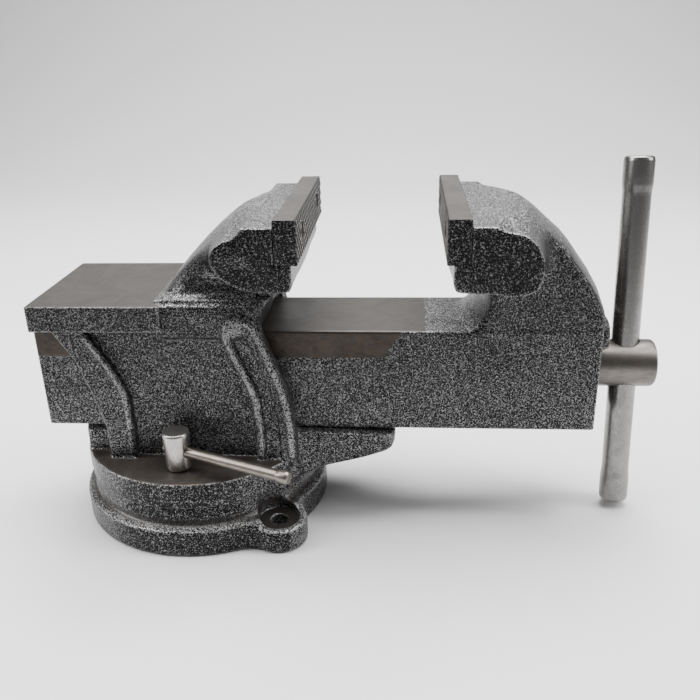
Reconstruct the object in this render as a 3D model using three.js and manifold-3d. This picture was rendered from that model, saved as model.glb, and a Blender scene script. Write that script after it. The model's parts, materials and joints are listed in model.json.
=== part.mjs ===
// Bench vise with a swivel base, an anvil and replaceable jaw plates, 150 mm jaws.
// Millimetres, +Z up, +X towards the screw handle. The origin is the swivel axis
// on the underside of the base.
import * as THREE from "three";
import { mergeVertices } from "three/addons/utils/BufferGeometryUtils.js";
import Module from "manifold-3d";

const wasm = await Module();
wasm.setup();

// ---- driving dimensions -------------------------------------------------
const GAP = 0.3; // running and seating clearance between neighbouring pieces
const JAW_WIDTH = 150;
const JAW_TOP = 238.5;
const OPENING = 93; // distance between the plate faces as drawn
const REAR_FACE_X = 91; // gripping face of the rear plate
const PLATE_THICKNESS = 15;
const PLATE_HEIGHT = 29;
const PLATE_SCREW_Y = 45;
const PLATE_SCREW_Z = 224;

const BASE_RADIUS = 95;
const BASE_TOP = 35.5;
const LUG_ANGLE = -45.5; // degrees from +X of the first lug, the other is opposite
const LUG_REACH = 96;
const LUG_RADIUS = 20.5;
const LUG_HEIGHT = 18;
const LUG_HOLE_RADIUS = 6.3;
const PIVOT_RADIUS = 8;

const DISC_RADIUS = 89;
const DISC_TOP = 55.6;
const BODY_HALF_WIDTH = 52;
const PANEL_HALF_WIDTH = 47.5;
const ANVIL_HALF_WIDTH = 53.6;
const ANVIL_TOP = 174.4;
const ANVIL_THICKNESS = 19;
const ANVIL_REAR_X = -103.7;
const ANVIL_FRONT_X = -9;

const SLIDE_HALF_WIDTH = 37.7;
const SLIDE_BOTTOM = 75;
const SLIDE_TOP = 151;
const SLIDE_REAR_X = -108.5;
const SLIDE_FRONT_X = 294;
const CHANNEL_HALF_WIDTH = 25;
const CHANNEL_TOP = 131;
const CHANNEL_END_X = 272;

const SCREW_Z = 112.5;
const THREAD_RADIUS = 10;
const JOURNAL_RADIUS = 9.6;
const HEAD_RADIUS = 17.5;
const HEAD_START_X = 297;
const HEAD_END_X = 340.5;
const HANDLE_X = 320;
const HANDLE_RADIUS = 9.9;
const HANDLE_LENGTH = 258;
const HANDLE_SHIFT = 20; // how far the bar is pushed up through the head
const HANDLE_LEAN = 7.7; // degrees from vertical, top away from the near side

const LOCK_X = -4;
const LOCK_Y = 64; // radius of the ring slot in the base
const LOCK_BAR_Z = 70;
const LOCK_BAR_ANGLE = -22.8;

// ---- shapes -------------------------------------------------------------
const toRad = THREE.MathUtils.degToRad;

function solid(geometry) {
  const bare = geometry.index ? geometry.toNonIndexed() : geometry.clone();
  bare.deleteAttribute("normal");
  bare.deleteAttribute("uv");
  const merged = mergeVertices(bare, 1e-4);
  return new wasm.Manifold(
    new wasm.Mesh({
      numProp: 3,
      vertProperties: merged.attributes.position.array,
      triVerts: new Uint32Array(merged.index.array),
    }),
  );
}

function geometryOf(shape) {
  const mesh = shape.getMesh();
  const geometry = new THREE.BufferGeometry();
  geometry.setAttribute(
    "position",
    new THREE.BufferAttribute(new Float32Array(mesh.vertProperties), 3),
  );
  geometry.setIndex(new THREE.BufferAttribute(new Uint32Array(mesh.triVerts), 1));
  return geometry;
}

function outline(points) {
  return new THREE.Shape(points.map(([a, b]) => new THREE.Vector2(a, b)));
}

// An outline whose corners are rounded: each point is [a, b] or [a, b, radius].
function softOutline(points) {
  const shape = new THREE.Shape();
  const count = points.length;
  points.forEach(([a, b, radius = 0], i) => {
    const here = new THREE.Vector2(a, b);
    const before = new THREE.Vector2(...points[(i + count - 1) % count].slice(0, 2));
    const after = new THREE.Vector2(...points[(i + 1) % count].slice(0, 2));
    const back = before.clone().sub(here);
    const forth = after.clone().sub(here);
    const cut = Math.min(radius, back.length() * 0.49, forth.length() * 0.49);
    const from = here.clone().add(back.setLength(cut || 1e-9));
    const to = here.clone().add(forth.setLength(cut || 1e-9));
    if (i === 0) shape.moveTo(from.x, from.y);
    else shape.lineTo(from.x, from.y);
    if (radius > 0) shape.quadraticCurveTo(here.x, here.y, to.x, to.y);
  });
  return shape;
}

function extrude(shape, depth, bevel = 0) {
  return new THREE.ExtrudeGeometry(shape, {
    depth: depth - 2 * bevel,
    bevelEnabled: bevel > 0,
    bevelSize: bevel,
    bevelThickness: bevel,
    bevelOffset: -bevel,
    bevelSegments: 1,
    curveSegments: 5,
  }).translate(0, 0, bevel);
}

// Side outline in X and Z, extruded across the vise from y0 to y1.
function acrossY(shape, y0, y1, bevel = 0) {
  return solid(extrude(shape, y1 - y0, bevel).rotateX(Math.PI / 2).translate(0, y1, 0));
}

// End outline in Y and Z, extruded along the vise from x0 to x1.
function alongX(shape, x0, x1, bevel = 0) {
  const turn = new THREE.Matrix4().set(0, 0, 1, 0, 1, 0, 0, 0, 0, 1, 0, 0, 0, 0, 0, 1);
  return solid(extrude(shape, x1 - x0, bevel).applyMatrix4(turn).translate(x0, 0, 0));
}

// Plan outline in X and Y, extruded up from z0 to z1.
function upZ(shape, z0, z1, bevel = 0) {
  return solid(extrude(shape, z1 - z0, bevel).translate(0, 0, z0));
}

function block(x0, x1, y0, y1, z0, z1) {
  return solid(
    new THREE.BoxGeometry(x1 - x0, y1 - y0, z1 - z0).translate(
      (x0 + x1) / 2,
      (y0 + y1) / 2,
      (z0 + z1) / 2,
    ),
  );
}

// A turned piece: the profile lists [radius, height] from one end to the other.
function turned(profile, segments = 40) {
  return new THREE.LatheGeometry(
    profile.map(([r, h]) => new THREE.Vector2(r, h)),
    segments,
  );
}

function turnedUp(profile, x = 0, y = 0, segments = 40) {
  return solid(turned(profile, segments).rotateX(Math.PI / 2).translate(x, y, 0));
}

function turnedAlong(profile, segments = 40) {
  return solid(turned(profile, segments).rotateZ(-Math.PI / 2).translate(0, 0, SCREW_Z));
}

function rodZ(radius, x, y, z0, z1, segments = 24) {
  return turnedUp([[0, z0], [radius, z0], [radius, z1], [0, z1]], x, y, segments);
}

function rodX(radius, y, z, x0, x1, segments = 24) {
  const rod = turned([[0, x0], [radius, x0], [radius, x1], [0, x1]], segments);
  return solid(rod.rotateZ(-Math.PI / 2).translate(0, y, z));
}

function mirrorX(points, sum) {
  return points.map(([x, ...rest]) => [sum - x, ...rest]).reverse();
}

const group = new THREE.Group();
group.name = "bench_vise";

function add(name, geometry, colour, metalness, roughness, place = [0, 0, 0]) {
  const material = new THREE.MeshStandardMaterial({ color: colour, metalness, roughness });
  const mesh = new THREE.Mesh(geometry, material);
  mesh.name = name;
  mesh.position.set(...place);
  group.add(mesh);
  return mesh;
}

const CASTING = [0x35353a, 0.3, 0.45];
const STEEL = [0x8d8c88, 1, 0.35];
const BRIGHT_STEEL = [0xb0a99f, 1, 0.3];

// ---- swivel base --------------------------------------------------------
function swivelBase() {
  const ring = turnedUp([
    [0, 0],
    [22, 0],
    [24, 3],
    [74, 3],
    [76, 0],
    [BASE_RADIUS - 1.5, 0],
    [BASE_RADIUS, 1.5],
    [BASE_RADIUS, 14],
    [93.8, 18],
    [91, 21],
    [88, 23.5],
    [86.4, 27],
    [85.8, 31],
    [85.8, BASE_TOP - 1],
    [84.8, BASE_TOP],
    [70.5, BASE_TOP],
    [70.5, 24.2],
    [78, 24.2],
    [78, 11],
    [50, 11],
    [50, 24.2],
    [57.5, 24.2],
    [57.5, BASE_TOP],
    [PIVOT_RADIUS + GAP, BASE_TOP],
    [PIVOT_RADIUS + GAP, 12],
    [0, 12],
  ], 0, 0, 96);
  let base = ring;
  for (const turn of [0, 180]) {
    const angle = toRad(LUG_ANGLE + turn);
    const [x, y] = [LUG_REACH * Math.cos(angle), LUG_REACH * Math.sin(angle)];
    const ear = turnedUp([
      [0, 0],
      [LUG_RADIUS - 1, 0],
      [LUG_RADIUS, 1],
      [LUG_RADIUS, LUG_HEIGHT - 3],
      [LUG_RADIUS - 3, LUG_HEIGHT],
      [0, LUG_HEIGHT],
    ], x, y);
    const web = solid(
      new THREE.BoxGeometry(30, 2 * LUG_RADIUS + 10, 14)
        .translate(LUG_REACH - 18, 0, 7)
        .rotateZ(angle),
    );
    base = base.add(ear.add(web).subtract(rodZ(80, 0, 0, -1, 40, 96)));
    base = base.subtract(rodZ(13.5, x, y, LUG_HEIGHT - 2, 40, 32));
    base = base.subtract(rodZ(LUG_HOLE_RADIUS, x, y, -1, 40));
  }
  return base;
}
add("swivel_base", geometryOf(swivelBase()), ...CASTING);

add(
  "pivot_pin",
  turned([[0, 0], [7, 0], [8, 1], [8, 38.5], [6.8, 39.7], [0, 39.7]], 32).rotateX(Math.PI / 2),
  ...STEEL,
  [0, 0, 12.3],
);

// ---- fixed body: disc foot, ribbed walls, tunnel, anvil, rear jaw --------
const SIDE_WALL = [
  [80, 50],
  [79, 80],
  [77, 100],
  [72, 120],
  [66, 136],
  [60, 154],
  [60, 166],
  [66, 176],
  [-20, 176],
  [-92, 165],
  [-90, 157],
  [-75, 133],
  [-66, 106],
  [-59, 79],
  [-59, 50],
];
const PANEL = [
  [51.5, 57, 3],
  [52, 75, 10],
  [50.6, 103.6, 10],
  [42, 124, 10],
  [34, 144.5, 10],
  [33, 180],
  [-9, 180],
  [-9, 155, 1],
  [-62, 155, 2],
  [-60, 149, 6],
  [-46, 124.5, 10],
  [-38.4, 106, 10],
  [-39.3, 81, 10],
  [-40, 57, 3],
];
const JAW_HEAD = [
  [75.7, 233.5],
  [75.7, 209.2],
  [86.4, 209.2],
  [86.4, 191, 5],
  [62, 191, 12],
  [44, 196, 12],
  [35, 206, 10],
  [34.6, 217, 8],
  [40, 225.5, 6],
  [51, 227.4, 3],
  [56, 233.5, 0.8],
];
const REAR_NECK = [
  [82, 200],
  [82, 191],
  [72, 181],
  [64, 172],
  [58, 160],
  [-15, 160],
  [-15, 174.4],
  [-5, 188.5],
  [1.5, 195.5],
  [8, 202.5],
  [16, 210.5],
  [23, 217],
  [29, 222],
  [36, 227.5],
  [50, 230],
  [60, 232],
  [70, 215],
];
const NECK_END = [
  [-52, 150],
  [52, 150],
  [52, 172, 4],
  [38, 184, 14],
  [33, 205, 14],
  [24, 222, 14],
  [0, 233, 30],
  [-24, 222, 14],
  [-33, 205, 14],
  [-38, 184, 14],
  [-52, 172, 4],
];
const FRONT_LEDGE = [
  [60, 72],
  [152, 72, 3],
  [151, 63, 5],
  [126, 53.5, 8],
  [98, 45.5, 8],
  [84, 38],
  [60, 38],
];

function plateScrewHoles(faceX, backX) {
  const holes = [-PLATE_SCREW_Y, PLATE_SCREW_Y].map((y) =>
    rodX(4 + GAP, y, PLATE_SCREW_Z, Math.min(faceX, backX), Math.max(faceX, backX)),
  );
  return holes[0].add(holes[1]);
}

function fixedBody() {
  const disc = turnedUp([
    [0, BASE_TOP + GAP],
    [86.5, BASE_TOP + GAP],
    [DISC_RADIUS - 0.8, BASE_TOP + 1.5],
    [DISC_RADIUS, BASE_TOP + 2.5],
    [DISC_RADIUS, DISC_TOP - 2],
    [DISC_RADIUS - 2, DISC_TOP],
    [0, DISC_TOP],
  ], 0, 0, 96);
  const walls = acrossY(outline(SIDE_WALL), -BODY_HALF_WIDTH, BODY_HALF_WIDTH, 2);
  const panel = softOutline(PANEL);
  const nearPanel = acrossY(panel, -60, -PANEL_HALF_WIDTH);
  const farPanel = acrossY(panel, PANEL_HALF_WIDTH, 60);
  const anvil = acrossY(
    outline([
      [ANVIL_REAR_X, ANVIL_TOP],
      [ANVIL_REAR_X, ANVIL_TOP - ANVIL_THICKNESS],
      [ANVIL_FRONT_X, ANVIL_TOP - ANVIL_THICKNESS],
      [ANVIL_FRONT_X, ANVIL_TOP],
    ]),
    -ANVIL_HALF_WIDTH,
    ANVIL_HALF_WIDTH,
    0.8,
  );
  const neck = acrossY(outline(REAR_NECK), -BODY_HALF_WIDTH, BODY_HALF_WIDTH).intersect(
    alongX(softOutline(NECK_END), -20, 90),
  );
  const head = acrossY(softOutline(JAW_HEAD), -JAW_WIDTH / 2, JAW_WIDTH / 2, 0.8);
  const ledgePlan = upZ(
    softOutline([
      [50, -45],
      [152, -45, 12],
      [152, 45, 12],
      [50, 45],
    ]),
    30,
    90,
  );
  const ledge = acrossY(outline(FRONT_LEDGE), -45, 45).intersect(
    ledgePlan,
  );
  const rearLedge = block(-95, -50, -40, 40, 40, 71.5).intersect(rodZ(88.5, 0, 0, 30, 80, 96));
  const shoulder = block(ANVIL_FRONT_X - 1, 60, -PANEL_HALF_WIDTH, PANEL_HALF_WIDTH, 150, 174);
  let body = walls.subtract(nearPanel).subtract(farPanel);
  body = body.add(shoulder).add(disc).add(anvil).add(neck).add(head).add(ledge).add(rearLedge);
  const tunnel = block(
    -120,
    200,
    -SLIDE_HALF_WIDTH - GAP,
    SLIDE_HALF_WIDTH + GAP,
    SLIDE_BOTTOM - GAP,
    SLIDE_TOP + GAP,
  );
  const mouth = alongX(
    outline([
      [-44, 140],
      [44, 140],
      [40, 160],
      [-40, 160],
    ]),
    50,
    90,
  );
  body = body.subtract(tunnel).subtract(mouth);
  body = body.subtract(block(-96, -62, -26, 26, 64, 90));
  body = body.subtract(rodZ(PIVOT_RADIUS + GAP, 0, 0, 30, 53));
  body = body.subtract(rodZ(9.6, 30, 0, 30, 46)).subtract(rodZ(5 + GAP, 30, 0, 40, 80));
  for (const side of [-1, 1])
    body = body.subtract(rodZ(5 + GAP, LOCK_X, side * LOCK_Y, 30, 60));
  return body.subtract(plateScrewHoles(58, 80));
}
add("fixed_body", geometryOf(fixedBody()), ...CASTING);

// ---- jaw plates and their screws -----------------------------------------
function jawPlate(faceX, backX) {
  const plate = acrossY(
    outline([
      [Math.min(faceX, backX), JAW_TOP - PLATE_HEIGHT],
      [Math.max(faceX, backX), JAW_TOP - PLATE_HEIGHT],
      [Math.max(faceX, backX), JAW_TOP],
      [Math.min(faceX, backX), JAW_TOP],
    ]),
    -JAW_WIDTH / 2,
    JAW_WIDTH / 2,
    0.5,
  );
  const inward = Math.sign(backX - faceX);
  let drilled = plate.subtract(plateScrewHoles(faceX - inward, backX + inward));
  for (const y of [-PLATE_SCREW_Y, PLATE_SCREW_Y]) {
    const [a, b] = [faceX - inward, faceX + inward * 8.5].sort((p, q) => p - q);
    drilled = drilled.subtract(rodX(7 + GAP, y, PLATE_SCREW_Z, a, b, 32));
  }
  return drilled;
}

// Socket-head screw lying along +X, the head's top at x = 0.
function plateScrew() {
  const profile = [
    [0, 0],
    [6.4, 0],
    [7, 0.6],
    [7, 7.5],
    [4, 7.5],
    [4, 25],
    [3, 26],
    [0, 26],
  ];
  const body = solid(turned(profile, 28).rotateZ(-Math.PI / 2));
  const socket = solid(
    new THREE.CylinderGeometry(3.4, 3.4, 8, 6).rotateZ(Math.PI / 2),
  );
  return body.subtract(socket);
}

const FRONT_FACE_X = REAR_FACE_X + OPENING;
const rearBackX = REAR_FACE_X - PLATE_THICKNESS;
const frontBackX = FRONT_FACE_X + PLATE_THICKNESS;
add("rear_jaw_plate", geometryOf(jawPlate(REAR_FACE_X, rearBackX)), ...STEEL);
add("front_jaw_plate", geometryOf(jawPlate(FRONT_FACE_X, frontBackX)), ...STEEL);
for (const [side, y] of [["near", -PLATE_SCREW_Y], ["far", PLATE_SCREW_Y]]) {
  const rear = add(
    "rear_plate_screw_" + side,
    geometryOf(plateScrew()),
    ...STEEL,
    [REAR_FACE_X - 1, y, PLATE_SCREW_Z],
  );
  rear.rotation.z = Math.PI;
  add(
    "front_plate_screw_" + side,
    geometryOf(plateScrew()),
    ...STEEL,
    [FRONT_FACE_X + 1, y, PLATE_SCREW_Z],
  );
}

// ---- main nut in the tunnel and the bolt that holds it -------------------
function mainNut() {
  const foot = block(-12, 42, -20, 20, SLIDE_BOTTOM, 96);
  const tower = acrossY(
    softOutline([
      [-12, 90],
      [32, 90],
      [32, 128.5, 6],
      [-12, 128.5, 6],
    ]),
    -18,
    18,
    1,
  );
  return foot
    .add(tower)
    .subtract(rodX(THREAD_RADIUS + GAP, 0, SCREW_Z, -20, 50, 40))
    .subtract(rodZ(5 + GAP, 30, 0, 70, 90));
}
add("main_nut", geometryOf(mainNut()), 0x5a564f, 0.8, 0.5);

const nutBolt = turned(
  [[0, 0], [9, 0], [9, 7.5], [5, 7.5], [5, 49], [4, 50], [0, 50]],
  24,
);
add("nut_bolt", nutBolt.rotateX(Math.PI / 2), ...STEEL, [30, 0, 38]);

// ---- sliding jaw ----------------------------------------------------------
const HUMP_SIDE = [
  [170, 140],
  [294, 140],
  [296, 150],
  [298, 158],
  [296, 166],
  [292, 175],
  [285.5, 186.5],
  [278.5, 196],
  [271, 205.5],
  [261, 215.5],
  [252, 222],
  [241, 227.5],
  [230, 230],
  [214, 230],
  [200, 215],
  [200, 192],
  [211, 188],
  [213, 178],
  [211, 168],
  [206, 159],
  [199, 153],
  [190, 150.5],
  [170, 150.5],
];
const HUMP_END = [
  [-SLIDE_HALF_WIDTH, 130],
  [SLIDE_HALF_WIDTH, 130],
  [SLIDE_HALF_WIDTH, 190, 30],
  [28, 220, 20],
  [0, 232, 20],
  [-28, 220, 20],
  [-SLIDE_HALF_WIDTH, 190, 30],
];

function slidingJaw() {
  const bar = alongX(
    outline([
      [-SLIDE_HALF_WIDTH, SLIDE_BOTTOM],
      [SLIDE_HALF_WIDTH, SLIDE_BOTTOM],
      [SLIDE_HALF_WIDTH, SLIDE_TOP],
      [-SLIDE_HALF_WIDTH, SLIDE_TOP],
    ]),
    SLIDE_REAR_X,
    SLIDE_FRONT_X,
    1.2,
  );
  const channel = block(
    SLIDE_REAR_X - 2,
    CHANNEL_END_X,
    -CHANNEL_HALF_WIDTH,
    CHANNEL_HALF_WIDTH,
    SLIDE_BOTTOM - 2,
    CHANNEL_TOP,
  );
  const hump = acrossY(outline(HUMP_SIDE), -50, 50).intersect(
    alongX(softOutline(HUMP_END), 160, 310),
  );
  const head = acrossY(
    softOutline(mirrorX(JAW_HEAD, REAR_FACE_X + FRONT_FACE_X)),
    -JAW_WIDTH / 2,
    JAW_WIDTH / 2,
    0.8,
  );
  const hood = alongX(
    softOutline([
      [-24, 131.5],
      [24, 131.5],
      [24, 150, 9],
      [-24, 150, 9],
    ]),
    285,
    303,
    1.5,
  );
  return bar
    .subtract(channel)
    .add(hump)
    .add(head)
    .add(hood)
    .subtract(rodX(JOURNAL_RADIUS + GAP, 0, SCREW_Z, 260, 310, 40))
    .subtract(plateScrewHoles(195, 217));
}
add("sliding_jaw", geometryOf(slidingJaw()), ...CASTING);

// ---- lead screw, its retainers and the handle -----------------------------
const handleAxis = new THREE.Vector3(0, 0, 1).applyAxisAngle(
  new THREE.Vector3(1, 0, 0),
  -toRad(HANDLE_LEAN),
);

function leadScrew() {
  const body = turnedAlong([
    [0, -80],
    [8, -80],
    [THREAD_RADIUS, -78],
    [THREAD_RADIUS, 238],
    [JOURNAL_RADIUS, 240],
    [JOURNAL_RADIUS, HEAD_START_X],
    [HEAD_RADIUS - 0.6, HEAD_START_X],
    [HEAD_RADIUS, HEAD_START_X + 0.6],
    [HEAD_RADIUS, HEAD_END_X - 2.4],
    [HEAD_RADIUS - 2, HEAD_END_X - 0.4],
    [HEAD_RADIUS - 3, HEAD_END_X],
    [0, HEAD_END_X],
  ], 48);
  const cross = solid(
    new THREE.CylinderGeometry(HANDLE_RADIUS + 0.4, HANDLE_RADIUS + 0.4, 60, 40)
      .rotateX(Math.PI / 2)
      .rotateX(-toRad(HANDLE_LEAN))
      .translate(HANDLE_X, 0, SCREW_Z),
  );
  return body.subtract(cross).subtract(rodZ(2 + GAP, 251.5, 0, 90, 135, 16));
}
add("lead_screw", geometryOf(leadScrew()), ...BRIGHT_STEEL);

function washer(inner, outer, thickness, segments = 36) {
  const profile = [
    [inner, 0],
    [outer - 0.4, 0],
    [outer, 0.4],
    [outer, thickness - 0.4],
    [outer - 0.4, thickness],
    [inner, thickness],
    [inner, 0],
  ];
  return turned(profile, segments).rotateZ(-Math.PI / 2);
}
add("thrust_washer", washer(10, 16.5, 2.4), ...STEEL, [294.3, 0, SCREW_Z]);
add("spring_washer", washer(10, 16, 2.5), ...STEEL, [269.2, 0, SCREW_Z]);

const collar = solid(washer(JOURNAL_RADIUS + GAP, 16, 9).translate(247, 0, SCREW_Z));
add(
  "retaining_collar",
  geometryOf(collar.subtract(rodZ(2 + GAP, 251.5, 0, 90, 135, 16))),
  ...STEEL,
);
add(
  "collar_pin",
  turned([[0, -17], [1.6, -17], [2, -16.6], [2, 16.6], [1.6, 17], [0, 17]], 16).rotateX(Math.PI / 2),
  ...STEEL,
  [251.5, 0, SCREW_Z],
);

// Closed coil spring between the collar and the washer on the inside of the casting.
function springWire() {
  const turns = 3;
  const points = [];
  for (let i = 0; i <= turns * 20; i++) {
    const angle = (i / 20) * 2 * Math.PI;
    points.push(
      new THREE.Vector3((i / (turns * 20)) * 9.6, 13 * Math.cos(angle), 13 * Math.sin(angle)),
    );
  }
  const wire = new THREE.Shape().absarc(0, 0, 1.1, 0, 2 * Math.PI);
  return new THREE.ExtrudeGeometry(wire, {
    steps: turns * 20,
    curveSegments: 4,
    bevelEnabled: false,
    extrudePath: new THREE.CatmullRomCurve3(points),
  });
}
add("spindle_spring", geometryOf(solid(springWire())), ...STEEL, [257.8, 0, SCREW_Z]);

function handleBar() {
  const half = HANDLE_LENGTH / 2;
  const end = [
    [0, half],
    [9, half],
    [10.5, half - 1.6],
    [10.7, half - 12],
    [10.4, half - 21],
    [HANDLE_RADIUS, half - 23],
  ];
  const other = end.map(([r, h]) => [r, -h]).reverse();
  return turned([...end, ...other].reverse(), 36).rotateX(Math.PI / 2);
}
const handle = add(
  "handle_bar",
  handleBar(),
  ...STEEL,
  handleAxis.clone().multiplyScalar(HANDLE_SHIFT).add(new THREE.Vector3(HANDLE_X, 0, SCREW_Z)).toArray(),
);
handle.rotation.x = -toRad(HANDLE_LEAN);

// ---- swivel lock bolts, bars and ring-slot nuts ----------------------------
function lockBolt(barAngle) {
  const bolt = turnedUp([
    [0, 13],
    [4.2, 13],
    [5, 14],
    [5, DISC_TOP + GAP],
    [8.6, DISC_TOP + GAP],
    [9, DISC_TOP + 1],
    [9.7, 84],
    [8.6, 85.2],
    [0, 85.2],
  ], 0, 0, 36);
  const hole = solid(
    new THREE.CylinderGeometry(3.5 + GAP, 3.5 + GAP, 30, 24)
      .rotateZ(Math.PI / 2)
      .rotateZ(toRad(barAngle))
      .translate(0, 0, LOCK_BAR_Z),
  );
  return bolt.subtract(hole);
}

function lockBar() {
  return turned([
    [0, -11],
    [2.8, -11],
    [3.5, -10.3],
    [3.5, 84],
    [4.4, 86],
    [4.6, 91],
    [3.8, 93],
    [0, 93],
  ], 24).rotateZ(-Math.PI / 2);
}

for (const [side, sign] of [["near", -1], ["far", 1]]) {
  const barAngle = -sign * LOCK_BAR_ANGLE;
  const place = [LOCK_X, sign * LOCK_Y, 0];
  add(side + "_lock_bolt", geometryOf(lockBolt(barAngle)), ...BRIGHT_STEEL, place);
  const bar = add(
    side + "_lock_bar",
    lockBar(),
    ...BRIGHT_STEEL,
    [LOCK_X, sign * LOCK_Y, LOCK_BAR_Z],
  );
  bar.rotation.z = toRad(barAngle);
  const nut = block(-11, 11, -11, 11, 12, 23.4).subtract(rodZ(5 + GAP, 0, 0, 5, 30));
  const nutMesh = add(side + "_lock_nut", geometryOf(nut), ...STEEL, place);
  nutMesh.rotation.z = Math.atan2(sign * LOCK_Y, LOCK_X);
}

export default group;
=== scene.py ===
"""Bench vise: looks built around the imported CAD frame. Metres; the helpers take millimetres."""
import json
import math

import bmesh
import bpy
import numpy as np
from mathutils import Matrix, Vector


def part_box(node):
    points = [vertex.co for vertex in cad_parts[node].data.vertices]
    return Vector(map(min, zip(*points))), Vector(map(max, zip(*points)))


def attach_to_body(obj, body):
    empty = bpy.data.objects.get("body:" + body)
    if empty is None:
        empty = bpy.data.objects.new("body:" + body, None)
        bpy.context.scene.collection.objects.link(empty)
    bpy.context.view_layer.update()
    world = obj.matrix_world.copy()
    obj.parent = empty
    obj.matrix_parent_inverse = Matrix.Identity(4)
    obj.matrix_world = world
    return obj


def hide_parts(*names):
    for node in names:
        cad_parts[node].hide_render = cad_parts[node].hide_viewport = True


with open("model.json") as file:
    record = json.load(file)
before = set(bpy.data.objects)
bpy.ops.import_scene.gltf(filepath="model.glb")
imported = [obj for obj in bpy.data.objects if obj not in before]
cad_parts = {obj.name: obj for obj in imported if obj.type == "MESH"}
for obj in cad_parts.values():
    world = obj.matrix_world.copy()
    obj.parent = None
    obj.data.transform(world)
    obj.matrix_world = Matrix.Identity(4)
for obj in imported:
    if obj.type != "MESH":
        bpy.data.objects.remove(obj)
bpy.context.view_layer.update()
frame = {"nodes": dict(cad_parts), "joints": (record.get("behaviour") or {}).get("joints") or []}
MM = 0.001
MM_PER_METRE = 1000
ALONG_X, ALONG_Y, ALONG_Z = 0, 1, 2
OPEN = 999  # a side of a box that has no limit
JOINTS = {j["name"]: j for j in frame["joints"]}


def box_mm(node):
    low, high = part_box(node)
    return np.array(low) * MM_PER_METRE, np.array(high) * MM_PER_METRE


# -------- distance fields
class Field:
    """A grid of sample points in millimetres, and shapes as signed distances on it."""

    def __init__(self, low, high, step):
        self.low = np.array(low, np.float32)
        self.step = step
        self.axes = [
            np.arange(a, b + step, step, dtype=np.float32) for a, b in zip(low, high)
        ]
        self.x = self.axes[0][:, None, None]
        self.y = self.axes[1][None, :, None]
        self.z = self.axes[2][None, None, :]

    def outline(self, points, across):
        """Signed distance of a closed outline in the plane whose normal is axis `across`."""
        first, second = [i for i in range(3) if i != across]
        a = self.axes[first][:, None]
        b = self.axes[second][None, :]
        best = np.full((a.size, b.size), 1e9, np.float32)
        inside = np.zeros(best.shape, bool)
        for (a0, b0), (a1, b1) in zip(points, points[1:] + points[:1]):
            da, db = a1 - a0, b1 - b0
            t = np.clip(((a - a0) * da + (b - b0) * db) / (da * da + db * db + 1e-9), 0, 1)
            best = np.minimum(best, np.hypot(a - a0 - t * da, b - b0 - t * db))
            if abs(db) > 1e-9:
                crosses = (b0 > b) != (b1 > b)
                inside ^= crosses & (a < a0 + (b - b0) * da / db)
        return np.expand_dims(np.where(inside, -best, best), across)

    def prism(self, points, across, half, rounding=0.0, centre=0.0):
        flat = self.outline(points, across) + rounding
        side = np.abs((self.x, self.y, self.z)[across] - centre) - half + rounding
        return rounded_corner(flat, side) - rounding

    def crowned(self, points, half, crown, rounding):
        """A prism across y whose edge surface falls away by `crown` towards its two sides."""
        flat = self.outline(points, ALONG_Y) + crown * (self.y / half) ** 2 + rounding
        return rounded_corner(flat, np.abs(self.y) - half + rounding) - rounding

    def block(self, low, high, rounding=0.0):
        gaps = []
        for value, a, b in zip((self.x, self.y, self.z), low, high):
            gaps.append(np.abs(value - (a + b) / 2) - (b - a) / 2 + rounding)
        return rounded_box(gaps, rounding)

    def drum(self, x, y, radius, z0, z1, rounding=0.0):
        flat = np.hypot(self.x - x, self.y - y) - radius + rounding
        side = np.abs(self.z - (z0 + z1) / 2) - (z1 - z0) / 2 + rounding
        return rounded_corner(flat, side) - rounding

    def bead(self, points, y, radius):
        """A round bead along an open path in the plane at y."""
        path = self.outline(points + points[-2:0:-1], ALONG_Y)
        return np.hypot(np.abs(path), self.y - y) - radius

    def rod(self, y, z, radius, x0, x1, rounding=0.0):
        flat = np.hypot(self.y - y, self.z - z) - radius + rounding
        side = np.abs(self.x - (x0 + x1) / 2) - (x1 - x0) / 2 + rounding
        return rounded_corner(flat, side) - rounding


def rounded_corner(a, b):
    return np.minimum(np.maximum(a, b), 0) + np.sqrt(np.maximum(a, 0) ** 2 + np.maximum(b, 0) ** 2)


def rounded_box(gaps, rounding):
    """Signed distance of a box, from how far each coordinate is past its shrunken faces."""
    inner = np.minimum(np.maximum(np.maximum(gaps[0], gaps[1]), gaps[2]), 0)
    outer = np.sqrt(sum(np.maximum(gap, 0) ** 2 for gap in gaps))
    return inner + outer - rounding


def join(a, b, blend=0.0):
    if blend <= 0:
        return np.minimum(a, b)
    h = np.maximum(blend - np.abs(a - b), 0) / blend
    return np.minimum(a, b) - h * h * blend / 4


def cut(a, b, blend=0.0):
    return -join(-a, b, blend)


def meet(a, b, blend=0.0):
    return -join(-a, -b, blend)


def smooth_points(points, steps):
    """A closed Catmull-Rom curve through the points, for an outline that is curved in the casting."""
    p = np.array(points, float)
    n = len(p)
    out = []
    for i in range(n):
        a, b, c, d = p[(i - 1) % n], p[i], p[(i + 1) % n], p[(i + 2) % n]
        square = 2 * a - 5 * b + 4 * c - d
        cube = 3 * b - a - 3 * c + d
        for t in np.arange(steps) / steps:
            out.append(0.5 * (2 * b + (c - a) * t + square * t**2 + cube * t**3))
    return [tuple(q) for q in out]


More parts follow.
